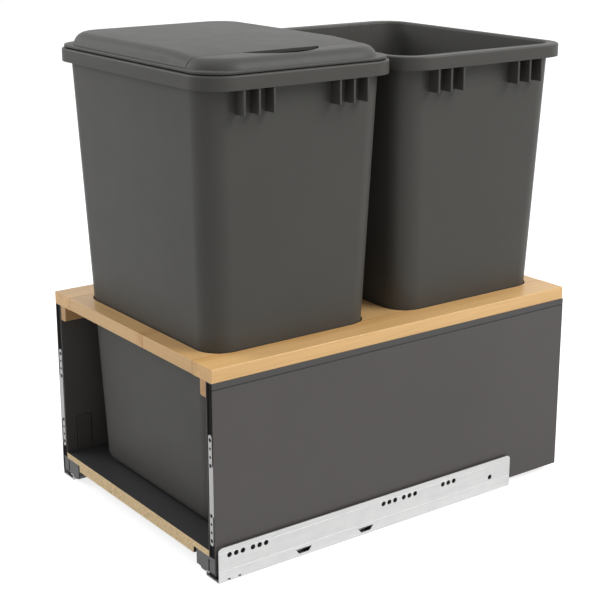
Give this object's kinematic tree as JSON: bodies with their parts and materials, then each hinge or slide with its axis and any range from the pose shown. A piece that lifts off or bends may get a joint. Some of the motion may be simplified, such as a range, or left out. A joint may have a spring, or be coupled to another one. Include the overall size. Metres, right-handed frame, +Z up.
{
  "type": "pull out bin frame",
  "caption": "Pull out waste bin frame for a base cabinet: undermount runners, metal drawer sides, wooden frame with routed holes, tapered bins, and a lid with a hinged flap.",
  "frame": {"origin": "centre of the plan view at the underside of the cabinet rails, the cabinet's floor", "axes": "+Z up, +X to the right as seen from the front, -Y towards the front, the way the drawer opens"},
  "size_m": [0.381, 0.542, 0.587],
  "materials": {
    "zinc": "zinc plated sheet, satin",
    "steel": "bright",
    "side_paint": "fine matt powder coat, dark warm grey",
    "bin_plastic": "matt, fine grain, dark warm grey",
    "dark_plastic": "matt",
    "grey_plastic": "satin, mid grey",
    "black_plastic": "satin, black",
    "maple": "clear lacquered maple",
    "board": "coated chipboard with a raw pale front edge"
  },
  "bodies": {
    "cabinet_rails": {"cabinet_rail_left": "zinc", "cabinet_rail_right": "zinc", "damper_housing_left": "black_plastic", "damper_housing_right": "black_plastic", "damper_spring_left": "steel", "damper_spring_right": "steel"},
    "centre_rails": {"centre_rail_left": "zinc", "centre_rail_right": "zinc", "centre_nose_left": "black_plastic", "centre_nose_right": "black_plastic"},
    "lower_cages": {"lower_cage_left": "black_plastic", "lower_cage_right": "black_plastic", "lower_rollers": "steel"},
    "upper_cages": {"upper_cage_left": "black_plastic", "upper_cage_right": "black_plastic", "upper_rollers": "steel"},
    "damper_plungers": {"damper_plunger_left": "black_plastic", "damper_plunger_right": "black_plastic"},
    "release_lever_left": {"release_lever_left": "grey_plastic"},
    "release_lever_right": {"release_lever_right": "grey_plastic"},
    "height_wheel_left": {"height_wheel_left": "black_plastic"},
    "height_wheel_right": {"height_wheel_right": "black_plastic"},
    "front_bin": {"front_bin": "bin_plastic"},
    "rear_bin": {"rear_bin": "bin_plastic"},
    "lid": {"lid_frame": "bin_plastic", "lid_hinge_pin": "steel"},
    "flap": {"lid_flap": "bin_plastic"},
    "drawer": {"drawer_rail_left": "zinc", "drawer_rail_right": "zinc", "side_outer_left": "side_paint", "side_outer_right": "side_paint", "side_inner_left": "side_paint", "side_inner_right": "side_paint", "side_cover_left": "dark_plastic", "side_cover_right": "dark_plastic", "front_insert_left": "black_plastic", "front_insert_right": "black_plastic", "front_bracket_left": "zinc", "front_bracket_right": "zinc", "angle_bracket_left": "zinc", "angle_bracket_right": "zinc", "cleat_left": "maple", "cleat_right": "maple", "frame_side_rail_left": "maple", "frame_side_rail_right": "maple", "locking_housing_left": "grey_plastic", "locking_housing_right": "grey_plastic", "bracket_screws": "zinc", "cleat_screws": "zinc", "frame_screws": "zinc", "panel_screws": "zinc", "angle_screws": "zinc", "lock_screws": "zinc", "frame_front_rail": "maple", "frame_middle_rail": "maple", "frame_rear_rail": "maple", "bottom_panel": "board", "back_panel": "board"}
  },
  "joints": [
    {"name": "drawer_slide", "type": "slide", "parent": "cabinet_rails", "child": "drawer", "axis": [0, -1, 0], "range_m": [0, 0.45]},
    {"name": "centre_rail_slide", "type": "slide", "parent": "cabinet_rails", "child": "centre_rails", "axis": [0, -1, 0], "range_m": [0, 0.225]},
    {"name": "lower_cage_slide", "type": "slide", "parent": "cabinet_rails", "child": "lower_cages", "axis": [0, -1, 0], "range_m": [0, 0.1125]},
    {"name": "upper_cage_slide", "type": "slide", "parent": "cabinet_rails", "child": "upper_cages", "axis": [0, -1, 0], "range_m": [0, 0.3375]},
    {"name": "damper_slide", "type": "slide", "parent": "cabinet_rails", "child": "damper_plungers", "axis": [0, -1, 0], "range_m": [0, 0.045]},
    {"name": "front_bin_lift", "type": "slide", "parent": "drawer", "child": "front_bin", "axis": [0, 0, 1], "range_m": [0, 0.56]},
    {"name": "rear_bin_lift", "type": "slide", "parent": "drawer", "child": "rear_bin", "axis": [0, 0, 1], "range_m": [0, 0.56]},
    {"name": "lid_lift", "type": "slide", "parent": "front_bin", "child": "lid", "axis": [0, 0, 1], "range_m": [0, 0.06]},
    {"name": "lid_flap_hinge", "type": "hinge", "parent": "lid", "child": "flap", "pos_m": [-0.1658, -0.1332, 0.5766], "axis": [0, -1, 0], "range_deg": [0, 95]},
    {"name": "release_lever_right_hinge", "type": "hinge", "parent": "drawer", "child": "release_lever_right", "pos_m": [0.17245, -0.2657, 0.017], "axis": [0, 0, 1], "range_deg": [0, 20]},
    {"name": "release_lever_left_hinge", "type": "hinge", "parent": "drawer", "child": "release_lever_left", "pos_m": [-0.17245, -0.2657, 0.017], "axis": [0, 0, -1], "range_deg": [0, 20]},
    {"name": "height_wheel_right_turn", "type": "hinge", "parent": "drawer", "child": "height_wheel_right", "pos_m": [0.1474, -0.251, 0.0108], "axis": [0, 0, 1], "range_deg": [0, 180]},
    {"name": "height_wheel_left_turn", "type": "hinge", "parent": "drawer", "child": "height_wheel_left", "pos_m": [-0.1474, -0.251, 0.0108], "axis": [0, 0, -1], "range_deg": [0, 180]}
  ],
  "couplings": [
    {"joint": "centre_rail_slide", "follows": "drawer_slide", "ratio": 0.5},
    {"joint": "lower_cage_slide", "follows": "drawer_slide", "ratio": 0.25},
    {"joint": "upper_cage_slide", "follows": "drawer_slide", "ratio": 0.75},
    {"joint": "damper_slide", "follows": "drawer_slide", "ratio": 0.1}
  ]
}
